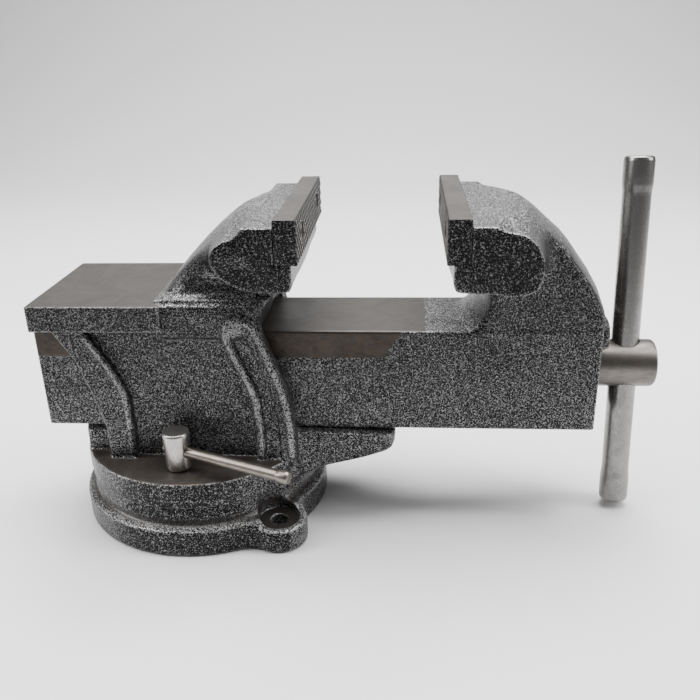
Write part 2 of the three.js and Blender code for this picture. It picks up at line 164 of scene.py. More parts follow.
# The twelve edges of a grid cell.
EDGES = [
    ((0, 0, 0), (1, 0, 0)), ((0, 1, 0), (1, 1, 0)), ((0, 0, 1), (1, 0, 1)), ((0, 1, 1), (1, 1, 1)),
    ((0, 0, 0), (0, 1, 0)), ((1, 0, 0), (1, 1, 0)), ((0, 0, 1), (0, 1, 1)), ((1, 0, 1), (1, 1, 1)),
    ((0, 0, 0), (0, 0, 1)), ((1, 0, 0), (1, 0, 1)), ((0, 1, 0), (0, 1, 1)), ((1, 1, 0), (1, 1, 1)),
]
OUTSIDE = 0.05  # least value at the border of the grid, so that every surface is closed
LEAST_SLOPE = 0.05
MOST_SHIFT = 0.45  # in cells
NEWTON_STEPS = 3


def sample(f, p):
    """Trilinear value of the grid f at grid coordinates p, with its gradient."""
    i = np.clip(np.floor(p).astype(int), 0, np.array(f.shape) - 2)
    u = (p - i).astype(np.float32)
    c = {}
    for a, b, d in np.ndindex(2, 2, 2):
        c[a, b, d] = f[i[:, 0] + a, i[:, 1] + b, i[:, 2] + d]
    ux, uy, uz = u.T
    low = [[c[a, b, 0] * (1 - uz) + c[a, b, 1] * uz for b in (0, 1)] for a in (0, 1)]
    slope = [[c[a, b, 1] - c[a, b, 0] for b in (0, 1)] for a in (0, 1)]
    value = (low[0][0] * (1 - uy) + low[0][1] * uy) * (1 - ux) + (
        low[1][0] * (1 - uy) + low[1][1] * uy
    ) * ux
    gx = (low[1][0] - low[0][0]) * (1 - uy) + (low[1][1] - low[0][1]) * uy
    gy = (low[0][1] - low[0][0]) * (1 - ux) + (low[1][1] - low[1][0]) * ux
    gz = (slope[0][0] * (1 - uy) + slope[0][1] * uy) * (1 - ux) + (
        slope[1][0] * (1 - uy) + slope[1][1] * uy
    ) * ux
    return value, np.stack([gx, gy, gz], 1)


def surface(name, field, f, keep):
    """A closed quad surface at the zero level of f, one vertex per crossed cell, then thinned to `keep`."""
    f = np.ascontiguousarray(np.broadcast_to(f, [a.size for a in field.axes])).astype(np.float32)
    for axis in range(3):
        edge = [slice(None)] * 3
        for end in (0, -1):
            edge[axis] = end
            f[tuple(edge)] = np.maximum(f[tuple(edge)], OUTSIDE)
    inside = f < 0
    count = np.zeros(tuple(n - 1 for n in f.shape), np.int8)
    nx, ny, nz = count.shape
    for a, b, c in np.ndindex(2, 2, 2):
        count += inside[a : nx + a, b : ny + b, c : nz + c]
    cells = np.argwhere((count > 0) & (count < 8))
    ids = np.full(count.shape, -1, np.int32)
    ids[tuple(cells.T)] = np.arange(len(cells))
    total = np.zeros((len(cells), 3))
    hits = np.zeros(len(cells))
    for a, b in EDGES:
        fa = f[tuple((cells + a).T)]
        fb = f[tuple((cells + b).T)]
        crossed = (fa < 0) != (fb < 0)
        t = fa / np.where(crossed, fa - fb, 1)
        where = np.array(a) + t[:, None] * (np.array(b) - np.array(a))
        total += np.where(crossed[:, None], where, 0)
        hits += crossed
    start = cells + total / hits[:, None]
    p = start.copy()
    for _ in range(NEWTON_STEPS):
        value, slope = sample(f, p)
        step = value[:, None] * slope / np.maximum((slope**2).sum(1), LEAST_SLOPE)[:, None]
        p = start + np.clip(p - step - start, -MOST_SHIFT, MOST_SHIFT)
    vertices = (p * field.step + field.low) * MM
    quads = []
    for axis in range(3):
        u, v = (axis + 1) % 3, (axis + 2) % 3
        low = [slice(None)] * 3
        high = [slice(None)] * 3
        low[axis] = slice(0, -1)
        high[axis] = slice(1, None)
        flips = inside[tuple(low)] != inside[tuple(high)]
        at = np.argwhere(flips)
        at = at[(at[:, u] > 0) & (at[:, v] > 0)]
        out = inside[tuple(low)][tuple(at.T)]
        du = np.eye(3, dtype=int)[u]
        dv = np.eye(3, dtype=int)[v]
        ring = [at - du - dv, at - dv, at, at - du]
        quad = np.stack([ids[tuple(r.T)] for r in ring], 1)
        quad[~out] = quad[~out][:, ::-1]
        quads.append(quad)
    return mesh_object(name, vertices, np.concatenate(quads), keep)


def linked(name, data):
    obj = bpy.data.objects.new(name, data)
    bpy.context.scene.collection.objects.link(obj)
    return obj


def mesh_object(name, vertices, quads, keep):
    quads = np.asarray(quads, np.int32)
    sides = quads.shape[1]
    mesh = bpy.data.meshes.new(name)
    mesh.vertices.add(len(vertices))
    mesh.vertices.foreach_set("co", np.asarray(vertices, np.float32).ravel())
    mesh.loops.add(quads.size)
    mesh.loops.foreach_set("vertex_index", quads.ravel())
    mesh.polygons.add(len(quads))
    mesh.polygons.foreach_set("loop_start", np.arange(len(quads), dtype=np.int32) * sides)
    mesh.update(calc_edges=True)
    mesh.validate()
    mesh.shade_smooth()
    obj = linked(name, mesh)
    thin = obj.modifiers.new("thin", "DECIMATE")
    thin.ratio = keep
    bake_modifiers(obj)
    obj.data.shade_smooth()
    return obj


def bake_modifiers(obj):
    depsgraph = bpy.context.evaluated_depsgraph_get()
    made = bpy.data.meshes.new_from_object(obj.evaluated_get(depsgraph))
    obj.modifiers.clear()
    obj.data = made


def sharpen(obj, degrees):
    obj.data.shade_smooth()
    obj.data.set_sharp_from_angle(angle=math.radians(degrees))
    return obj


def from_bmesh(name, bm):
    mesh = bpy.data.meshes.new(name)
    bm.to_mesh(mesh)
    bm.free()
    return linked(name, mesh)


# -------- turned pieces
def turned(name, profile, segments=96):
    """Revolves [radius, height] points about +Z, in millimetres."""
    angles = np.arange(segments) * 2 * math.pi / segments
    bm = bmesh.new()
    rings = []
    for r, h in profile:
        places = [(r * math.cos(t) * MM, r * math.sin(t) * MM, h * MM) for t in angles]
        if r < 1e-6:
            places = [(0, 0, h * MM)]
        rings.append([bm.verts.new(place) for place in places])
    for a, b in zip(rings, rings[1:]):
        for i in range(segments):
            j = (i + 1) % segments
            corners = [a[i % len(a)], a[j % len(a)], b[j % len(b)], b[i % len(b)]]
            unique = list(dict.fromkeys(corners))
            if len(unique) > 2:
                bm.faces.new(unique)
    bmesh.ops.recalc_face_normals(bm, faces=bm.faces)
    return sharpen(from_bmesh(name, bm), 40)


def ease(points, radius=0.5, steps=3):
    """Rounds the inner corners of an open profile with small arcs."""
    out = [points[0]]
    for before, here, after in zip(points, points[1:], points[2:]):
        a, b, c = np.array(before, float), np.array(here, float), np.array(after, float)
        back, forth = a - b, c - b
        cut_back = min(radius, np.linalg.norm(back) * 0.45)
        cut_forth = min(radius, np.linalg.norm(forth) * 0.45)
        p = b + back / (np.linalg.norm(back) + 1e-9) * cut_back
        q = b + forth / (np.linalg.norm(forth) + 1e-9) * cut_forth
        for t in np.linspace(0, 1, steps + 1):
            out.append(tuple((1 - t) ** 2 * p + 2 * t * (1 - t) * b + t * t * q))
    out.append(points[-1])
    return out


def place(obj, origin, direction=(0, 0, 1)):
    """Moves the mesh so that its +Z runs along direction from origin (millimetres)."""
    turn = Vector(direction).normalized().to_track_quat("Z", "Y").to_matrix().to_4x4()
    obj.data.transform(Matrix.Translation(Vector(origin) * MM) @ turn)
    return obj


def subtract(obj, tool):
    """Cuts the tool out of the mesh, and removes the tool."""
    mod = obj.modifiers.new("cut", "BOOLEAN")
    mod.object = tool
    mod.operation = "DIFFERENCE"
    mod.solver = "EXACT"
    bake_modifiers(obj)
    bpy.data.objects.remove(tool)


def bevelled(obj, width, segments):
    edge = obj.modifiers.new("edge", "BEVEL")
    edge.width = width * MM
    edge.segments = segments
    edge.limit_method = "ANGLE"
    edge.angle_limit = math.radians(50)
    bake_modifiers(obj)
    return sharpen(obj, 30)


# -------- materials
# Colours are linear. Scales of noise are per millimetre.
DROPS_PER_MM = 0.88
RIPPLES_PER_MM = 1.56
VEIN_LEVELS = (0.640, 0.735)  # between them a dark pool turns into a silver vein
# Painted shade: the faces at the jaw ends get fewer silver veins, so they read darker.
SHADE_AT_JAW_ENDS = 0.055
# Painted top light: up-facing paint gets fewer silver veins, but brighter ones.
TOP_LIGHT_FEWER_VEINS = 0.028
# Edge wear and painted highlight: sharp convex edges get more and thicker silver veins.
MORE_ON_WORN_AND_HIGHLIT_EDGES = 0.07
POOL_DARK = (0.0008, 0.0008, 0.001)
POOL_LIGHT = (0.003, 0.003, 0.0034)
PAINTED_LIGHT_HEIGHTS = (25, 190)  # painted light and shade: the silver is brighter near the lower one, darker near the upper one
THIN_SILVER_LOW = (0.100, 0.099, 0.101)
THIN_SILVER_HIGH = (0.056, 0.055, 0.0565)
THICK_SILVER_LOW = (0.370, 0.366, 0.370)
THICK_SILVER_HIGH = (0.210, 0.2075, 0.210)
# Painted highlight: the bright silver of up-facing paint.
PAINTED_TOP_LIGHT_SILVER = (0.40, 0.395, 0.39)
GROUND_TINT = (0.058, 0.053, 0.049)
GROUND_DARK = (0.038, 0.0345, 0.0315)
PIT_COLOUR = (0.07, 0.06, 0.052)
RUST_COLOUR = (0.050, 0.034, 0.024)
GRIME_COLOUR = (0.06, 0.05, 0.043)


class Nodes:
    """Makes the nodes of one material, with positions in millimetres."""

    def __init__(self, name):
        self.material = bpy.data.materials.new(name)
        self.material.use_nodes = True
        self.tree = self.material.node_tree
        self.tree.nodes.clear()
        self.out = self.tree.nodes.new("ShaderNodeOutputMaterial")
        coords = self.tree.nodes.new("ShaderNodeTexCoord")
        scaled = self.tree.nodes.new("ShaderNodeVectorMath")
        scaled.operation = "SCALE"
        scaled.inputs["Scale"].default_value = MM_PER_METRE
        self.tree.links.new(coords.outputs["Object"], scaled.inputs[0])
        self.mm = scaled.outputs[0]

    def link(self, source, socket):
        self.tree.links.new(source, socket)

    def _set(self, socket, value):
        if hasattr(value, "node"):
            self.link(value, socket)
        else:
            socket.default_value = value

    def math(self, operation, a, b=0.0):
        node = self.tree.nodes.new("ShaderNodeMath")
        node.operation = operation
        for socket, value in zip(node.inputs, (a, b)):
            self._set(socket, value)
        return node.outputs[0]

    def plus(self, a, b):
        return self.math("ADD", a, b)

    def minus(self, a, b):
        return self.math("SUBTRACT", a, b)

    def times(self, a, b):
        return self.math("MULTIPLY", a, b)

    def stretch(self, factors):
        node = self.tree.nodes.new("ShaderNodeVectorMath")
        node.operation = "MULTIPLY"
        self.link(self.mm, node.inputs[0])
        node.inputs[1].default_value = factors
        return node.outputs[0]

    def noise(self, scale, detail=2.0, rough=0.5, distortion=0.0, vector=None):
        node = self.tree.nodes.new("ShaderNodeTexNoise")
        node.inputs["Scale"].default_value = scale
        node.inputs["Detail"].default_value = detail
        node.inputs["Roughness"].default_value = rough
        node.inputs["Distortion"].default_value = distortion
        self.link(vector or self.mm, node.inputs["Vector"])
        return node.outputs["Fac"]

    def drops(self, scale, vector):
        """Distance to the nearest of many scattered points."""
        node = self.tree.nodes.new("ShaderNodeTexVoronoi")
        node.feature = "F1"
        node.inputs["Scale"].default_value = scale
        self.link(vector, node.inputs["Vector"])
        return node.outputs["Distance"]

    def ramp(self, value, low, high, out_low=0.0, out_high=1.0):
        node = self.tree.nodes.new("ShaderNodeMapRange")
        node.interpolation_type = "SMOOTHSTEP"
        self._set(node.inputs["Value"], value)
        limits = {"From Min": low, "From Max": high, "To Min": out_low, "To Max": out_high}
        for key, number in limits.items():
            self._set(node.inputs[key], number)
        return node.outputs["Result"]

    def mix(self, factor, a, b):
        node = self.tree.nodes.new("ShaderNodeMix")
        node.data_type = "RGBA"
        self._set(node.inputs["Factor"], factor)
        for socket, value in ((node.inputs[6], a), (node.inputs[7], b)):
            self._set(socket, value if hasattr(value, "node") else (*value, 1))
        return node.outputs[2]

    def axis(self, index):
        node = self.tree.nodes.new("ShaderNodeSeparateXYZ")
        self.link(self.mm, node.inputs[0])
        return node.outputs[index]

    def reach(self, x, y):
        """Distance in the ground plane from the point x, y."""
        squares = []
        for index, centre in enumerate((x, y)):
            squares.append(self.math("POWER", self.minus(self.axis(index), centre), 2.0))
        return self.math("SQRT", self.plus(*squares))

    def normal(self, index):
        coords = self.tree.nodes.new("ShaderNodeTexCoord")
        split = self.tree.nodes.new("ShaderNodeSeparateXYZ")
        self.link(coords.outputs["Normal"], split.inputs[0])
        return split.outputs[index]

    def bump(self, height, distance, strength=1.0, normal=None):
        node = self.tree.nodes.new("ShaderNodeBump")
        node.inputs["Distance"].default_value = distance * MM
        node.inputs["Strength"].default_value = strength
        self.link(height, node.inputs["Height"])
        if normal:
            self.link(normal, node.inputs["Normal"])
        return node.outputs[0]

    def surface(self, colour, metallic, roughness, normal=None, **extra):
        node = self.tree.nodes.new("ShaderNodeBsdfPrincipled")
        self._set(node.inputs["Base Color"], colour if hasattr(colour, "node") else (*colour, 1))
        self._set(node.inputs["Metallic"], metallic)
        self._set(node.inputs["Roughness"], roughness)
        for key, value in extra.items():
            node.inputs[key.replace("_", " ")].default_value = value
        if normal:
            self.link(normal, node.inputs["Normal"])
        return node.outputs[0]

    def blend(self, factor, a, b):
        node = self.tree.nodes.new("ShaderNodeMixShader")
        self._set(node.inputs[0], factor)
        self.link(a, node.inputs[1])
        self.link(b, node.inputs[2])
        return node.outputs[0]

    def finish(self, shader):
        self.link(shader, self.out.inputs["Surface"])
        return self.material


def warped_place(n, scale, reach):
    """The position in millimetres, pushed about by coloured noise."""
    shift = n.tree.nodes.new("ShaderNodeTexNoise")
    shift.inputs["Scale"].default_value = scale
    shift.inputs["Detail"].default_value = 1.5
    n.link(n.mm, shift.inputs["Vector"])
    warped = n.tree.nodes.new("ShaderNodeVectorMath")
    warped.operation = "MULTIPLY_ADD"
    n.link(shift.outputs["Color"], warped.inputs[0])
    warped.inputs[1].default_value = (reach, reach, reach)
    n.link(n.mm, warped.inputs[2])
    return warped.outputs[0]


def hammertone(n, edge_wear_and_highlight=1.0, lift=0.0, ridge_highlight=0.0):
    """Hammered charcoal paint: small dark pools in a network of raised silver-grey veins."""
    drops = n.drops(DROPS_PER_MM, warped_place(n, 0.66, 1.7))
    ripple = n.noise(RIPPLES_PER_MM, 1.5, 0.5, 0.3)
    broad = n.noise(0.045, 2.0)
    level = n.plus(n.times(drops, 0.42), n.times(ripple, 0.85))
    level = n.plus(level, n.times(n.minus(broad, 0.5), 0.07))
    # Painted shade: fewer silver veins on the faces at the jaw ends darken them.
    ends = n.ramp(n.math("ABSOLUTE", n.axis(ALONG_Y)), HALF_JAW - 3.0, HALF_JAW - 0.5)
    level = n.minus(level, n.times(n.times(ends, facing(n, ALONG_Y)), SHADE_AT_JAW_ENDS + lift))
    level = n.plus(level, lift)
    # Edge wear and painted highlight: more and thicker silver on sharp convex edges.
    edge = n.tree.nodes.new("ShaderNodeNewGeometry").outputs["Pointiness"]
    worn = n.times(n.ramp(edge, 0.510, 0.555), edge_wear_and_highlight)
    # The painted ridge highlight adds to the edge mask.
    worn = n.math("MAXIMUM", worn, ridge_highlight)
    # Painted top light: up-facing paint gets fewer, brighter silver veins.
    up = n.ramp(n.normal(ALONG_Z), 0.40, 0.95)
    level = n.minus(level, n.times(up, TOP_LIGHT_FEWER_VEINS))
    vein = n.ramp(n.plus(level, n.times(worn, MORE_ON_WORN_AND_HIGHLIT_EDGES)), *VEIN_LEVELS)
    speck = n.ramp(n.noise(1.9, 1.0), 0.45, 0.62)
    pool = n.mix(speck, POOL_DARK, POOL_LIGHT)
    # Painted light and shade: silver veins brighter low down, darker high up.
    high = n.ramp(n.axis(ALONG_Z), *PAINTED_LIGHT_HEIGHTS)
    thin_silver = n.mix(high, THIN_SILVER_LOW, THIN_SILVER_HIGH)
    thick_silver = n.mix(high, THICK_SILVER_LOW, THICK_SILVER_HIGH)
    silver = n.mix(n.math("MAXIMUM", speck, worn), thin_silver, thick_silver)
    silver = n.mix(up, silver, PAINTED_TOP_LIGHT_SILVER)
    colour = n.mix(vein, pool, silver)
    metal = n.times(vein, 0.6)
    rough = n.ramp(vein, 0.0, 1.0, 0.28, 0.36)
    bump = n.bump(level, 0.7, 0.45)
    bump = n.bump(n.noise(0.10, 2.0), 1.0, 0.2, bump)
    return n.surface(colour, metal, rough, bump, Specular_IOR_Level=0.10)


def ground_metal(n, along, tint=GROUND_TINT, dark=GROUND_DARK, rust=0.0):
    """Ground or milled bare iron: fine streaks along one axis, soft stains and worn patches."""
    factors = [1.0, 1.0, 1.0]
    factors[along] = 0.05
    streaks = n.noise(2.6, 3.0, 0.65, 0.0, n.stretch(tuple(factors)))
    stains = n.noise(0.035, 4.0, 0.62, 0.6)
    pits = n.ramp(n.noise(0.9, 2.0), 0.60, 0.72)
    shade = n.plus(n.times(streaks, 0.45), n.times(stains, 0.55))
    colour = n.mix(n.ramp(shade, 0.36, 0.64), dark, tint)
    colour = n.mix(n.times(pits, 0.55), colour, PIT_COLOUR)
    if rust:
        spots = n.ramp(n.noise(0.22, 4.0, 0.7), 0.42, 0.62)
        colour = n.mix(n.times(spots, rust), colour, RUST_COLOUR)
    rough = n.ramp(shade, 0.3, 0.7, 0.52, 0.36)
    bump = n.bump(streaks, 0.12, 0.5)
    bump = n.bump(pits, -0.10, 0.4, bump)
    return n.surface(colour, 0.5, rough, bump, Specular_IOR_Level=0.3)


def steel(name, tint, dark, along, rough, grime):
    """Turned or drawn steel: streaks along one axis, fine turning marks across it."""
    n = Nodes(name)
    factors = [1.0, 1.0, 1.0]
    factors[along] = 0.035
    streaks = n.noise(3.2, 3.0, 0.7, 0.0, n.stretch(tuple(factors)))
    rings = [0.03, 0.03, 0.03]
    rings[along] = 3.0
    turning = n.noise(1.0, 2.0, 0.6, 0.0, n.stretch(tuple(rings)))
    mottle = n.noise(0.12, 4.0, 0.6, 0.4)
    shade = n.plus(n.times(streaks, 0.7), n.times(mottle, 0.3))
    colour = n.mix(n.ramp(shade, 0.38, 0.62), dark, tint)
    spots = n.ramp(n.noise(0.55, 4.0, 0.7), 0.58, 0.72)
    colour = n.mix(n.times(spots, grime), colour, GRIME_COLOUR)
    bump = n.bump(turning, 0.04, 0.5)
    bump = n.bump(streaks, 0.05, 0.4, bump)
    return n.finish(n.surface(colour, 0.95, n.ramp(shade, 0.3, 0.7, rough[1], rough[0]), bump))


def inside_box(n, low, high, soft=0.3, wobble=0.0):
    """1 inside a box in millimetres, 0 outside, with the edge softened. OPEN leaves a side out."""
    shift = n.times(n.minus(n.noise(0.35, 3.0), 0.5), wobble)
    value = None
    for index, (a, b) in enumerate(zip(low, high)):
        along = n.plus(n.axis(index), shift)
        for limit, sign in ((a, 1.0), (b, -1.0)):
            if abs(limit) == OPEN:
                continue
            part = n.ramp(n.times(n.minus(along, limit), sign), -soft, soft)
            value = part if value is None else n.math("MINIMUM", value, part)
    return value


def facing(n, index, low=0.80, high=0.93):
    """1 where the surface faces along an axis of the object, either way."""
    return n.ramp(n.math("ABSOLUTE", n.normal(index)), low, high)


# -------- dimensions, in millimetres
BODY_LOW = box_mm("fixed_body")[0]
JAW_LOW, JAW_HIGH = box_mm("sliding_jaw")
REAR_LOW, REAR_HIGH = box_mm("rear_jaw_plate")
FRONT_LOW, FRONT_HIGH = box_mm("front_jaw_plate")
SCREW_LOW, SCREW_HIGH = box_mm("lead_screw")
SCREW_Z = (SCREW_LOW[2] + SCREW_HIGH[2]) / 2
HANDLE_AXIS = Vector(JOINTS["handle_slide"]["axis"])
HALF_JAW = JAW_HIGH[1]
JAW_TOP = 233.5
PLATE_BOTTOM = REAR_LOW[2]
ANVIL_HALF = 54.0
ANVIL_TOP = 174.4
DISC_RADIUS = -BODY_LOW[1]
DISC_TOP = 55.6
WALL_HALF = 52.4
PANEL_FACE = 46.6  # half width over the sunk panels
SLIDE_HALF = 37.7
SLIDE_TOP = 151.0
SLIDE_BOTTOM = JAW_LOW[2]
SLIDE_FRONT = 294
FIT_GAP = 0.4  # between the slide and its tunnel
BAND_BOTTOM = 131.0  # machined flanks of the slide end here
LOCK_X, LOCK_Y = -4.0, 64.0
STEP = 1.0

# -------- fixed body
# Outlines in the plane of x and z, unless said otherwise.
SIDE_WALL = [
    (80, 50), (79.5, 80), (77, 100), (72, 120), (66, 136), (60, 154), (58.5, 160), (60, 168),
    (66, 177), (-20, 177), (-92, 168), (-90, 157), (-75, 133), (-66, 106), (-59.5, 79), (-59, 50),
]
PANEL = [
    (51, 40), (52.4, 75), (50.6, 103.6), (47.4, 114), (43, 124.5), (38.4, 135), (34.2, 145),
    (31.2, 154), (31.6, 160), (35, 165.5), (41, 168.5), (48, 167.5), (53.6, 163), (58, 157.5),
    (80, 157.5), (80, 190), (-72, 190), (-70, 163), (-62.5, 151.5), (-55, 139.5), (-47, 125),
    (-41.5, 113), (-39, 104), (-38.4, 81), (-39.5, 40),
]
RIB_GROOVE = [
    (38.5, 152), (45, 131), (53.5, 109), (57, 88), (57.5, 58), (69, 58), (68, 89), (64, 112),
    (56, 134), (48, 153), (43, 157),
]
INNER_RIDGE = [
    (54.2, 60), (54.8, 76), (53.0, 104.5), (49.6, 115), (45.2, 125.5), (40.8, 136), (37, 146),
    (35, 153), (35.6, 158.5), (39, 162), (44, 163),
]
OUTER_RIDGE = [
    (76.8, 60), (76.4, 80), (74, 100), (69.1, 119.5), (63.1, 135.5), (57.2, 153), (54, 159),
    (49.5, 162.4), (44, 163),
]
REAR_RIDGE = [(-41.8, 60), (-41.3, 81), (-42, 105), (-44.5, 114), (-50, 126), (-58, 140), (-65, 151)]
JAW_HEAD = [
    (75.7, 233.5), (75.7, 209.5), (86.4, 209.5), (86.4, 195.5), (85, 192.2), (81.5, 191), (64, 191),
    (54, 193), (45, 197), (38.5, 203), (35, 210), (35, 216.5), (38.2, 221.8), (43.5, 225.2),
    (49.5, 226.6), (52.5, 229), (56, 233.5),
]
REAR_NECK = [
    (84, 200), (83, 191), (73, 181), (64, 172), (58, 160), (-14, 160), (-14, 175.5), (-4.0, 189),
    (2.5, 196.5), (10, 204.3), (18, 212.3), (26, 219.6), (34.5, 226.6), (40, 230.6), (45, 233),
    (50, 234), (64, 234), (72, 215),
]
NECK_SIDE = [  # the neck seen from its end: y and z
    (48, 150), (47, 168), (44, 173.5), (40.5, 179), (37.5, 185), (37, 191), (40, 198), (46, 204),
    (54, 208.5), (64, 211.5), (80, 213), (80, 250),
]
NECK_END = [(-48, 150)] + NECK_SIDE + [(-y, z) for y, z in NECK_SIDE[:0:-1]]
LEDGE = [(60, 72), (148, 72), (152, 69), (150.5, 63), (146, 60), (126, 53), (98, 45.5), (84, 38), (60, 38)]
LEDGE_PLAN = [(50, -45), (144, -45), (149, -42), (152, -36), (152, 36), (149, 42), (144, 45), (50, 45)]


def ribbed_walls(g):
    """The two side walls: sunk panels, and ribs with a groove between raised ridges, which the paint gives
    a painted highlight.
    """
    cutter = 10
    groove_half, groove_y = 3.4, 53.6
    ridge_radius, ridge_y = 3.6, 50.7
    rear_ridge_radius, rear_ridge_y = 2.3, 51.0
    nose_x, nose_y, nose_z, nose_radius = 42, 48.6, 157, 6.4
    walls = g.prism(SIDE_WALL, ALONG_Y, WALL_HALF, 2.8)
    for side in (-1, 1):
        recess = g.prism(PANEL, ALONG_Y, cutter, 1.0, side * (PANEL_FACE + cutter))
        walls = cut(walls, recess, 1.4)
        walls = cut(walls, g.prism(RIB_GROOVE, ALONG_Y, groove_half, 1.0, side * groove_y), 2.0)
        for ridge in (INNER_RIDGE, OUTER_RIDGE):
            walls = join(walls, g.bead(ridge, side * ridge_y, ridge_radius), 1.2)
        walls = join(walls, g.bead(REAR_RIDGE, side * rear_ridge_y, rear_ridge_radius), 1.0)
        flat = (g.x - nose_x) ** 2 + (g.y - side * nose_y) ** 2
        nose = np.sqrt(flat + 0.7 * (g.z - nose_z) ** 2) - nose_radius
        walls = join(walls, nose, 3)
    return walls


def rear_jaw(g):
    neck = g.crowned(REAR_NECK, HALF_JAW, 12.0, 2.0)
    neck = meet(neck, g.prism(NECK_END, ALONG_X, 90), 11.0)
    shoulder = g.block((-13, -50.6, 150), (58, 50.6, 173.6), 2.2)
    return join(join(neck, shoulder, 8), g.prism(JAW_HEAD, ALONG_Y, HALF_JAW, 1.3), 7)


def front_ledge(g):
    """The sloping support under the slide."""
    ledge = g.prism(smooth_points(LEDGE, 3), ALONG_Y, 45, 2.5)
    return meet(ledge, g.prism(LEDGE_PLAN, ALONG_Z, 60, 0, 60), 2)


def rear_foot(g):
    foot = meet(g.block((-95, -40, 40), (-50, 40, 71.5), 2.0), g.drum(0, 0, 88.5, 30, 90), 2.0)
    return cut(foot, g.block((-96, -26, 64), (-62, 26, 90), 2), 2)


def body_openings(g, body):
    """The tunnel for the slide, the seat of the jaw plate and the bores from below."""
    body = cut(body, g.block((57, -42, 130), (80, 42, 165), 3), 2)
    half = SLIDE_HALF + FIT_GAP
    body = cut(body, g.block((-130, -half, SLIDE_BOTTOM - FIT_GAP), (220, half, SLIDE_TOP + FIT_GAP)))
    body = cut(body, g.block((REAR_LOW[0] - 0.1, -100, PLATE_BOTTOM - 0.1), (120, 100, 260)))
    body = meet(body, np.broadcast_to(g.z - JAW_TOP, body.shape))
    pivot_bore, nut_bolt_bore, lock_bore = 8.3, 9.6, 5.3
    body = cut(body, g.drum(0, 0, pivot_bore, 30, 53))
    body = cut(body, g.drum(30, 0, nut_bolt_bore, 30, 46))
    for side in (-1, 1):
        body = cut(body, g.drum(LOCK_X, side * LOCK_Y, lock_bore, 30, 60))
    return body


def body_paint():
    n = Nodes("fixed_body_paint")
    side_reach = n.math("ABSOLUTE", n.axis(ALONG_Y))
    # Painted highlight along the rib ridges: more and thicker silver veins there.
    front_ridge_highlight = n.times(n.ramp(side_reach, 52.9, 54.2), inside_box(n, (28, -56, 57), (82, 56, 166), 1.0))
    rear_ridge_highlight = n.times(n.ramp(side_reach, 52.5, 53.1), inside_box(n, (-67, -56, 80), (-36, 56, 153), 1.0))
    paint = hammertone(n, 1.0, 0.0, n.times(n.math("MAXIMUM", front_ridge_highlight, rear_ridge_highlight), 0.8))
    top = inside_box(n, (-OPEN, -OPEN, ANVIL_TOP - 0.9), (-9.3, OPEN, ANVIL_TOP + 1), 0.25)
    top = n.times(top, facing(n, ALONG_Z, 0.7, 0.9))
    disc = inside_box(n, (-OPEN, -OPEN, 54.2), (OPEN, OPEN, 57.0), 0.4, 0.8)
    disc = n.times(disc, facing(n, ALONG_Z, 0.75, 0.92))
    tunnel_side = inside_box(n, (-60, -39.5, 72), (60, 39.5, 152.5), 0.3)
    shader = n.blend(n.math("MAXIMUM", top, tunnel_side), paint, ground_metal(n, ALONG_Y))
    brown = ground_metal(n, ALONG_X, (0.085, 0.074, 0.066), (0.032, 0.029, 0.026), 0.3)
    return n.finish(n.blend(disc, shader, brown))


def build_fixed_body():
    g = Field((-107, -92, 33), (155, 92, 237), STEP)
    body = join(ribbed_walls(g), rear_jaw(g), 3)
    body = cut(body, g.block((-120, -70, ANVIL_TOP), (-14.2, 70, 260)))
    anvil = g.block((BODY_LOW[0], -ANVIL_HALF, ANVIL_TOP - 19), (-9, ANVIL_HALF, ANVIL_TOP), 0.9)
    body = join(body, anvil, 0.6)
    body = join(body, g.drum(0, 0, DISC_RADIUS, 35.8, DISC_TOP, 1.6), 3.0)
    body = join(body, rear_foot(g), 3.0)
    body = join(body, front_ledge(g), 6.0)
    obj = surface("fixed_body_cast", g, body_openings(g, body), 0.42)
    obj.data.materials.append(body_paint())
    return obj


# -------- sliding jaw
HUMP_SIDE = [
    (168, 140), (293.5, 140), (298, 150), (299.5, 156), (297.8, 162), (292.6, 175), (285.6, 187),
    (278.6, 196.7), (270.6, 207.2), (265.4, 213.2), (258.6, 219.0), (252.4, 223.9), (245, 229.2),
    (238, 232.9), (233, 234.4), (210, 234.4), (200, 215), (200, 192), (210, 188), (213, 178),
    (211.5, 168), (207, 160), (200, 154), (190, 151.2), (173, 150.4), (168, 150),
]
FRONT_HEAD = [
    (199.3, 209.5), (199.3, 233.6), (214, 233.5), (217.2, 230.4), (222, 229.0), (227.5, 228),
    (232.8, 225.3), (237, 219.7), (239.3, 212.5), (239.0, 205), (236.8, 199.4), (231.6, 195.3),
    (223.1, 192.6), (212, 191.4), (201.9, 191), (193.5, 191), (190, 192.2), (188.6, 195.5), (188.6, 209.5),
]
BROW_PLAN = [  # the shoulders of the jaw seen from above: x and y
    (215, -80), (236, -80), (237.5, -72), (240, -60), (245, -49), (251, -42.5), (258, -38.6),
    (266, -37.4), (300, -37.4),
]
BROW_PLAN += [(x, -y) for x, y in BROW_PLAN[::-1]]
HOOD_END = [  # the hood over the screw seen from its end: y and z
    (-22, 131.5), (22, 131.5), (24, 140), (20, 149), (12, 152), (-12, 152), (-20, 149), (-24, 140),
]


def slide_bar(g):
    """The slide, a little narrower below its machined bands."""
    bar = g.block((JAW_LOW[0], -SLIDE_HALF, SLIDE_BOTTOM), (SLIDE_FRONT, SLIDE_HALF, SLIDE_TOP), 1.4)
    for side in (-1, 1):
        middle = side * (SLIDE_HALF + 4.4)
        bar = cut(bar, g.block((-200, middle - 5, 60), (168, middle + 5, BAND_BOTTOM), 0.4), 0.6)
    return bar


